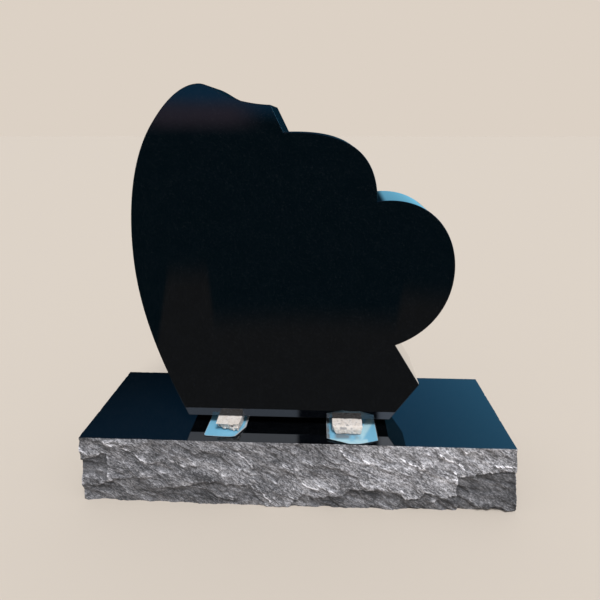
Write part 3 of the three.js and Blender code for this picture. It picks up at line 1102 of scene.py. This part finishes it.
@dataclass
class PackingBlock:
    """A rough block of off-white stone, broken away along its lower front edge.

    The break goes back by broken, deeper towards the left by the skew, with cavities and knobs in it. Its two
    corners are rounded, the upper front edge leans back by the front's rounding, and the right flank draws in
    towards the front by the taper. The runs say how far back each of these reaches. All are in mm.
    """

    side: Side
    broken: float
    corner_round: tuple[float, float]
    skew: float
    cavities: float
    knobs: float
    bite_lift: float = 0.45
    front_round: float = 0.0
    taper: float = 0.0
    bite_run: float = 22.0
    cavity_run: float = 8.0
    taper_run: float = 45.0
    rounding: float = 1.5
    pitch: float = 0.9
    seed: int = 0

    def wrap(self, half: np.ndarray) -> tuple[np.ndarray, int, int]:
        """Points all over a box: its perimeter carried along Y, and shrinking to a point at each end.

        Args:
            half: half of the box's width, depth and height, in mm.

        Returns:
            The points from the box's centre with the two poles last, how many rings they form, and how many
            points a ring has.
        """
        around = 4.0 * (half[0] + half[2])
        ring = round(around / self.pitch)
        t = np.arange(ring) / ring * around
        bounds = np.cumsum([0.0, 2 * half[0], 2 * half[2], 2 * half[0], 2 * half[2]])
        x = np.interp(t, bounds, [-half[0], half[0], half[0], -half[0], -half[0]])
        z = np.interp(t, bounds, [-half[2], -half[2], half[2], half[2], -half[2]])
        cap = np.linspace(0.0, 1.0, round(half[2] / self.pitch) + 1)[1:]
        body = np.linspace(-half[1], half[1], round(2 * half[1] / self.pitch) + 1)[1:-1]
        scale = np.concatenate([cap, np.ones(len(body)), cap[::-1]])[:, None]
        y = np.concatenate([np.full(len(cap), -half[1]), body, np.full(len(cap), half[1])])[:, None]
        points = np.stack(np.broadcast_arrays(x * scale, y, z * scale), axis=-1).reshape(-1, 3)
        return np.vstack([points, [[0.0, -half[1], 0.0], [0.0, half[1], 0.0]]]), len(scale), ring

    def shape(self) -> tuple[np.ndarray, np.ndarray, np.ndarray, int]:
        """The block's points, the painted shade of its pits and cavities, and its faces.

        Each point of a wrapped box is pulled to the nearest point of a smaller box and pushed back out by the
        rounding, then moved along that direction by noise: gentle all over, with cavities and knobs where the
        front is broken. The lower front edge is eaten back and up by a ragged bite, deeper towards one end,
        that fades upwards and backwards.

        Returns:
            The points in mm with the two poles last, one value of painted shade for each, the quads of the
            rings, and how many points a ring has.
        """
        low, high = (np.array(corner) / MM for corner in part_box(f"{self.side.value}_packing_block"))
        half, centre = (high - low) / 2.0, (high + low) / 2.0
        box, rings, ring = self.wrap(half)
        inner = np.clip(box, self.rounding - half, half - self.rounding)
        out = (box - inner) / np.maximum(np.linalg.norm(box - inner, axis=1, keepdims=True), 1e-9)
        place = box + 100.0 * self.seed
        across, behind = box[:, 0] / half[0], box[:, 1] + half[1]
        down = np.clip(0.5 - box[:, 2] / (2.0 * half[2]), 0.0, 1.0)
        near = ramp(1.0 - behind / self.bite_run)
        broken_front = ramp(1.0 - behind / self.cavity_run) * ramp((down - 0.04) / 0.3)
        crumble = 0.5 * rough(place, 9.0, 31) + 0.45 * rough(place, 2.8, 37)
        pits = ramp((noise(place, 3.0, 41) - 0.3) / 0.5) * 0.9
        cavity = ramp((noise(place * [1.0, 0.4, 1.0], 8.5, 71) - 0.02) / 0.45) * broken_front
        knob = ramp((noise(place * [1.0, 0.4, 1.0], 6.5, 83) - 0.15) / 0.5) * broken_front
        reach = self.rounding + crumble - 0.5 - pits - self.cavities * cavity + self.knobs * knob
        points = inner + reach[:, None] * out
        ragged_edge = 0.55 - self.skew * across + 0.6 * rough(place * [1.0, 0.35, 0.6], 11.0, 43)
        bite = self.broken * np.clip(ragged_edge, 0.03, 1.3) * down * near
        draw_in = np.where(across < 0.0, self.corner_round[0], -self.corner_round[1])
        points[:, 0] += across**2 * draw_in * down * near
        points[:, 1] += bite + self.front_round * ramp(0.5 - down) * near
        points[:, 2] += self.bite_lift * bite
        points[:, 0] -= self.taper * ramp(1.0 - behind / self.taper_run) * ramp(0.5 + 0.5 * across)
        points = np.clip(points, -half - 1.0, half + [1.0, 1.0, 0.0]) + centre
        # Painted shade: the pits, and the cavities where the front is broken.
        painted_shade = np.clip(pits / 0.9 + cavity * (self.cavities > 0), 0.0, 1.0)
        return points, painted_shade, closed_strip(rings, ring)[:, ::-1], ring

    def build(self, stone: bpy.types.Material) -> bpy.types.Object:
        """Makes the block and closes both ends with a fan round its pole.

        Args:
            stone: the finish.

        Returns:
            The piece.
        """
        points, painted_shade, quads, ring = self.shape()
        poles = len(points) - 2
        first = np.arange(ring)
        last = first + poles - ring
        front = np.stack([np.full(ring, poles), first, np.roll(first, -1)], axis=-1)
        back = np.stack([np.full(ring, poles + 1), np.roll(last, -1), last], axis=-1)
        faces = [*quads.tolist(), *front.tolist(), *back.tolist()]
        count = len(faces)
        name = f"{self.side.value}_stone_block"
        piece = make_piece(name, points, faces, (stone,), np.zeros(count), np.ones(count), 50.0)
        add_attribute(piece, "painted_shade", painted_shade)
        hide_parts(f"{self.side.value}_packing_block")
        return piece


@dataclass
class FilmSheet:
    """A piece of thin film under a block, laid flat, with its free edges curling up a little.

    It stands out in front of the block by front, shifted to the right and turned in degrees. A cut corner is
    given across and along. The rims are how wide the painted highlights along the cut edges are. A band of
    painted sheen has a start at the front edge, a lean and half a width. All lengths are in mm.
    """

    side: Side
    width: float
    front: float
    shift: float
    turn: float
    cut_left: tuple[float, float]
    cut_right: tuple[float, float]
    curl_left: float
    curl_right: float
    curl_front: float
    rim_left: float = 1.6
    rim_right: float = 1.6
    rim_front: float = 1.6
    bands: tuple[tuple[float, float, float], ...] = ()
    sheen_front: float = 0.0
    painted_shadow: float = 0.0
    side_shadow_width: float = 0.0
    behind: float = 8.0
    thickness: float = 0.25
    pitch: float = 1.3

    def marks(
        self, x: np.ndarray, y: np.ndarray, left: np.ndarray, right: np.ndarray, half_block: float
    ) -> dict[str, np.ndarray]:
        """What the material reads at each point: painted edge highlight, painted sheen and painted shadow.

        Args:
            x: mm from the sheet's left side.
            y: mm from its front edge.
            left: where its left edge is at each point, on the same scale as x.
            right: where its right edge is.
            half_block: half of the block's width in mm.

        Returns:
            Shares from 0 to 1, by the attribute's name.
        """
        # Painted highlight along the cut edges: full at an edge, fading over the rim's width.
        beside = np.minimum((x - left) / self.rim_left, (right - x) / self.rim_right)
        edge = np.minimum(beside, y / self.rim_front)
        # Painted sheen: a band back from the front edge, and slanting bands.
        sheen_run = 0.6 * self.sheen_front
        painted_sheen = ramp(1.0 - (y - sheen_run) / (sheen_run + 0.01)) * (x < 0.8 * self.width)
        for start, lean, half_width in self.bands:
            painted_sheen = np.maximum(painted_sheen, np.exp(-(((x - start - lean * y) / half_width) ** 4)))
        # Painted shadow on the film in front of the block's foot, and a strip of it along the left edge.
        beside_block = np.abs(x - self.width / 2.0 + self.shift) / half_block
        painted_shadow = self.painted_shadow * ramp((21.0 - self.front + y) / 13.0) * ramp((0.95 - beside_block) / 0.3)
        dull = ramp((self.side_shadow_width - x + left) / 1.5) * ramp((y - 14.0) / 4.0)
        painted_shadow = np.maximum(painted_shadow, dull * (self.side_shadow_width > 0.0))
        return {"rim": np.clip(1.0 - edge, 0.0, 1.0), "painted_sheen": painted_sheen, "painted_shadow": painted_shadow}

    @staticmethod
    def curl(inside: np.ndarray, width: float) -> np.ndarray:
        """How far an edge has curled up: 1 at the edge, and a parabola down to 0 at this width inside it."""
        return np.clip(1.0 - inside / width, 0.0, 1.0) ** 2

    def shape(self) -> tuple[np.ndarray, dict[str, np.ndarray], tuple[int, int]]:
        """The sheet's points, what its material reads at each, and its grid.

        Across and along run from 0 to 1. The left and right edges draw in by the cut corners near the front.
        A point rises by the curls of the three free edges, plus a small positive noise that fades out under
        the block.

        Returns:
            The points in mm, the marks of each, and the numbers of rows and columns.
        """
        low, high = (np.array(corner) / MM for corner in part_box(f"{self.side.value}_packing_block"))
        film_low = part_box(f"{self.side.value}_film_sheet")[0].z / MM
        length = self.front + (high[1] - low[1]) + self.behind
        columns, rows = round(self.width / self.pitch) + 1, round(length / self.pitch) + 1
        across, along = np.meshgrid(np.linspace(0.0, 1.0, columns), np.linspace(0.0, 1.0, rows))
        y = along * length
        left = self.cut_left[0] * np.maximum(1.0 - y / self.cut_left[1], 0.0)
        right = self.width - self.cut_right[0] * np.maximum(1.0 - y / self.cut_right[1], 0.0)
        x = left + (right - left) * across
        free = 1.0 - ramp((y - self.front + 14.0) / 30.0)
        middle_less = 0.4 + 0.6 * (2.0 * across - 1.0) ** 2
        flat = np.stack([x, y, np.full(x.shape, 31.0)], axis=-1)
        lift = self.curl_left * self.curl(x - left, 13.0) * (1.0 - 0.7 * along)
        lift += self.curl_right * self.curl(right - x, 13.0) * (1.0 - 0.7 * along)
        lift += self.curl_front * self.curl(y, 12.0) * middle_less
        lift += 0.35 * free * (1.0 + rough(flat, 17.0, 53))
        angle = math.radians(self.turn)
        local_x, local_y = x - self.width / 2.0 + self.shift, y - self.front
        centre = (low[0] + high[0]) / 2.0
        points = np.stack([
            centre + local_x * math.cos(angle) - local_y * math.sin(angle),
            low[1] + local_x * math.sin(angle) + local_y * math.cos(angle),
            film_low + 0.05 + lift,
        ], axis=-1)
        marks = self.marks(x, y, left, right, 0.5 * (high[0] - low[0]))
        return points.reshape(-1, 3), marks, (rows, columns)

    def build(self, plastic: bpy.types.Material) -> bpy.types.Object:
        """Makes the sheet as a thin closed plate: an upper and a lower grid, joined round the rim.

        Args:
            plastic: the finish.

        Returns:
            The piece.
        """
        points, marks, (rows, columns) = self.shape()
        total = rows * columns
        row, column = np.meshgrid(np.arange(rows - 1), np.arange(columns - 1), indexing="ij")
        corner = (row * columns + column).ravel()
        upper = np.stack([corner, corner + 1, corner + columns + 1, corner + columns], axis=-1)
        lower = upper[:, ::-1] + total
        border = np.concatenate([
            np.arange(columns), np.arange(2 * columns - 1, total, columns),
            np.arange(total - 2, total - columns - 1, -1), np.arange(total - 2 * columns, 0, -columns),
        ])
        after = np.roll(border, -1)
        edge = np.stack([border, border + total, after + total, after], axis=-1)
        faces = np.concatenate([upper, lower, edge]).tolist()
        both = np.vstack([points + [0.0, 0.0, self.thickness], points])
        count = len(faces)
        name = f"{self.side.value}_film"
        piece = make_piece(name, both, faces, (plastic,), np.zeros(count), np.ones(count), 50.0)
        for mark, values in marks.items():
            add_attribute(piece, mark, np.tile(values.ravel(), 2))
        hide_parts(f"{self.side.value}_film_sheet")
        return piece


# The studio

@dataclass(frozen=True)
class MirroredSky:
    """What the polished stone mirrors, by direction: X is to the right, Y away from the viewer and Z up.

    Behind the headstone it is dim blue on the left and bright blue on the right, over grey ground. On the
    viewer's side it is blue, with a soft lit patch low on the left. What is mirrored twice comes from an
    open, bright sky on the viewer's side, and is darker behind.
    """

    low_blue: Colour = (0.23, 0.67, 0.95)
    near_blue: Colour = (0.085, 0.36, 0.70)
    far_blue: Colour = (0.19, 0.74, 1.30)
    dim_low: Colour = (0.003, 0.018, 0.034)
    dim_high: Colour = (0.027, 0.110, 0.23)
    horizon: Colour = (0.010, 0.055, 0.085)
    front_blue: Colour = (0.07, 0.34, 0.72)
    front_high: Colour = (0.12, 0.16, 0.28)
    front_sides: Colour = (0.03, 0.12, 0.19)
    lit_patch: Colour = (0.37, 0.29, 0.40)
    grey: Colour = (0.105, 0.108, 0.112)
    pale_patch: Colour = (1.0, 0.9, 0.79)
    open_low: Colour = (7.4, 8.8, 11.0)
    open_high: Colour = (10.6, 11.4, 12.8)
    dimmed: float = 0.6

    def back(self, nodes: Nodes, x: Signal, z: Signal, right: Signal) -> bpy.types.NodeSocket:
        """The sky behind the headstone: two blues that change upwards, and a dim one on the left.

        Args:
            nodes: the world's tree.
            x: how far to the right the direction goes.
            z: how far up it goes.
            right: 1 on the bright side and 0 on the dim side.

        Returns:
            The colour.
        """
        near = nodes.mix(z.above(0.05, 0.5), opaque(self.low_blue), opaque(self.near_blue))
        far = nodes.mix(z.above(0.05, 0.5), opaque(self.low_blue), opaque(self.far_blue))
        dim = nodes.mix(z.above(0.40, 0.58), opaque(self.dim_low), opaque(self.dim_high))
        return nodes.mix(right, dim, nodes.mix(x.above(0.12, 0.42), near, far))

    def front(self, nodes: Nodes, x: Signal, z: Signal) -> bpy.types.NodeSocket:
        """The sky on the viewer's side: dark at the horizon, blue above it, dimmer to both sides.

        Args:
            nodes: the world's tree.
            x: how far to the right the direction goes.
            z: how far up it goes.

        Returns:
            The colour.
        """
        sky = nodes.mix(z.above(0.0, 0.05), opaque(self.horizon), opaque(self.front_blue))
        sky = nodes.mix(z.above(0.1, 0.3), sky, opaque(self.front_high))
        sides = 1.0 - x.above(-0.36, -0.24) * x.above(0.42, 0.3)
        sky = nodes.mix(sides * 0.6, sky, opaque(self.front_sides))
        patch = z.above(-0.06, -0.01) * z.above(0.06, 0.02) * x.above(-0.36, -0.28) * x.above(-0.10, -0.18)
        return nodes.mix(patch * 0.8, sky, opaque(self.lit_patch))

    def ground(self, nodes: Nodes, x: Signal, y: Signal, z: Signal) -> bpy.types.NodeSocket:
        """The ground: grey up to a stepped line, dark above it, with a pale patch at the back on the right.

        Args:
            nodes: the world's tree.
            x: how far to the right the direction goes.
            y: how far away from the viewer it goes.
            z: how far up it goes.

        Returns:
            The colour.
        """
        line = z + 0.35 - 0.09 * x.above(-0.205, -0.225) + 0.19 * x.above(-0.29, -0.32)
        line = line - 0.05 * x.above(0.14, 0.16)
        ground = nodes.mix(line.above(-0.04, 0.03), opaque(self.grey), opaque(self.horizon))
        patch = x.above(0.18, 0.24) * x.above(0.48, 0.42) * y.above(0.6, 0.75)
        return nodes.mix(patch, ground, opaque(self.pale_patch))

    def paint(self, nodes: Nodes, direction: Sequence[Signal], mirrorings: Signal) -> bpy.types.NodeSocket:
        """Puts the whole together.

        Args:
            nodes: the world's tree.
            direction: its X, Y and Z.
            mirrorings: how many times the ray has been mirrored.

        Returns:
            The colour.
        """
        x, y, z = direction
        behind = y.above(-0.25, 0.1)
        right = x.above(0.075, 0.11)
        sky = nodes.mix(behind, self.front(nodes, x, z), self.back(nodes, x, z, right))
        over_horizon = (z + 0.1 * (right * behind)).above(-0.02, 0.02)
        once = nodes.mix(over_horizon, self.ground(nodes, x, y, z), sky)
        twice = mirrorings.above(1.2, 1.8)
        dark_stretch = x.above(-0.047, -0.037) * x.above(0.113, 0.105)
        opening = twice * y.above(-0.2, -0.4) * z.above(0.15, 0.2) * (1.0 - dark_stretch)
        colour = nodes.mix(self.dimmed * (twice * y.above(0.2, 0.4)), once, opaque((0.0, 0.0, 0.0)))
        open_sky = nodes.mix(z.above(0.525, 0.55), opaque(self.open_low), opaque(self.open_high))
        return nodes.mix(opening, colour, nodes.scaled(open_sky, 1.0 + 0.6 * x.above(0.105, 0.12)))


@dataclass
class Studio:
    """A plain pale floor, soft light and a camera at the photograph's viewing angle."""

    floor_colour: Colour = (0.582, 0.519, 0.454)
    backdrop: Colour = (0.716, 0.638, 0.558)
    dome: Colour = (0.50, 0.51, 0.52)
    key: float = 2.7
    key_turn: tuple[float, float, float] = (30.0, 0.0, 20.0)
    key_spread: float = 18.0
    camera_place: Colour = (53.6, -1056.4, 777.0)
    camera_down: float = 18.882
    camera_left: float = 2.593
    lens: float = 30.55
    sky: MirroredSky = MirroredSky()

    def build(self) -> None:
        """Makes the floor, the surroundings, the key light and the camera."""
        self.make_camera()
        self.make_floor()
        self.make_surroundings()
        self.make_key()
        view = bpy.context.scene.view_settings
        view.view_transform = "Standard"
        view.look = "None"

    def make_camera(self) -> None:
        """The camera that the corners of the base's top were fitted with."""
        data = bpy.data.cameras.new("camera")
        data.sensor_width = 36.0
        data.lens = self.lens
        camera = bpy.data.objects.new("camera", data)
        camera.location = [value * MM for value in self.camera_place]
        turn = Euler((math.radians(90.0 - self.camera_down), 0.0, math.radians(self.camera_left)))
        camera.rotation_euler = turn
        bpy.context.scene.collection.objects.link(camera)
        bpy.context.scene.camera = camera

    def make_floor(self) -> None:
        """A wide pale floor, which the polished stone doesn't mirror."""
        reach = 40.0
        mesh = bpy.data.meshes.new("floor")
        plan = ((-reach, -reach), (reach, -reach), (reach, reach), (-reach, reach))
        mesh.from_pydata([(x, y, 0.0) for x, y in plan], [], [(0, 1, 2, 3)])
        floor = bpy.data.objects.new("floor", mesh)
        bpy.context.scene.collection.objects.link(floor)
        dull = {"Base Color": opaque(self.floor_colour), "Roughness": 0.9, "Specular IOR Level": 0.0}
        mesh.materials.append(Recipe("floor").surface(dull))
        floor.visible_glossy = False

    def make_key(self) -> None:
        """A soft key light from above the viewer's right shoulder."""
        data = bpy.data.lights.new("key", "SUN")
        data.energy = self.key
        data.angle = math.radians(self.key_spread)
        key = bpy.data.objects.new("key", data)
        key.rotation_euler = [math.radians(value) for value in self.key_turn]
        key.visible_glossy = False
        bpy.context.scene.collection.objects.link(key)

    def make_surroundings(self) -> None:
        """The backdrop that the camera sees, the dome that lights the stone and the sky that it mirrors."""
        world = bpy.data.worlds.new("surroundings")
        world.use_nodes = True
        bpy.context.scene.world = world
        nodes = Nodes(world.node_tree)
        place = nodes.node("ShaderNodeTexCoord").outputs["Generated"]
        split = nodes.node("ShaderNodeSeparateXYZ", {}, {0: place})
        direction = [Signal(nodes, split.outputs[axis]) for axis in range(3)]
        path = nodes.node("ShaderNodeLightPath")
        mirrored = self.sky.paint(nodes, direction, Signal(nodes, path.outputs["Glossy Depth"]))
        colour = nodes.mix(path.outputs["Is Glossy Ray"], opaque(self.dome), mirrored)
        colour = nodes.mix(path.outputs["Is Camera Ray"], colour, opaque(self.backdrop))
        background = nodes.node("ShaderNodeBackground", {}, {"Color": colour, "Strength": 1.0})
        nodes.node("ShaderNodeOutputWorld", {}, {"Surface": background.outputs[0]})


def main() -> None:
    """Builds the studio and every piece."""
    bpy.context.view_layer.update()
    Studio().build()
    polished = PolishedGranite().material()
    stone = PackingStone().material()
    plastic = PlasticFilm().material()
    blocks = (
        PackingBlock(
            Side.LEFT, broken=13.0, corner_round=(2.0, 2.0), skew=0.3, cavities=5.5, knobs=1.8, taper=3.0,
            seed=1,
        ),
        PackingBlock(
            Side.RIGHT, broken=2.0, corner_round=(8.0, 2.0), skew=0.0, cavities=0.8, knobs=0.6,
            front_round=9.0, seed=2,
        ),
    )
    films = (
        FilmSheet(
            Side.LEFT, width=85.0, front=17.0, shift=-7.0, turn=-1.5, cut_left=(3.0, 4.0),
            cut_right=(16.0, 37.0), curl_left=0.5, curl_right=2.5, curl_front=0.4, rim_left=0.7,
            rim_right=9.0, rim_front=0.7,
        ),
        FilmSheet(
            Side.RIGHT, width=107.0, front=33.0, shift=10.0, turn=1.0, cut_left=(36.0, 15.0),
            cut_right=(32.0, 13.0), curl_left=3.0, curl_right=1.0, curl_front=1.0, rim_left=1.2,
            rim_right=1.2, rim_front=1.2, bands=((60.0, 0.42, 9.0),), sheen_front=19.0, painted_shadow=0.85,
            side_shadow_width=7.0,
        ),
    )
    pieces = [
        Base().build((polished, BrokenGranite().material(), SawnGranite().material())),
        Tablet().build(polished),
        *(block.build(stone) for block in blocks),
        *(film.build(plastic) for film in films),
    ]
    for piece in pieces:
        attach(piece, "root")
        log.info("%s: %d faces", piece.name, len(piece.data.polygons))


if __name__ == "__main__":
    logging.basicConfig(level=logging.INFO)
    main()
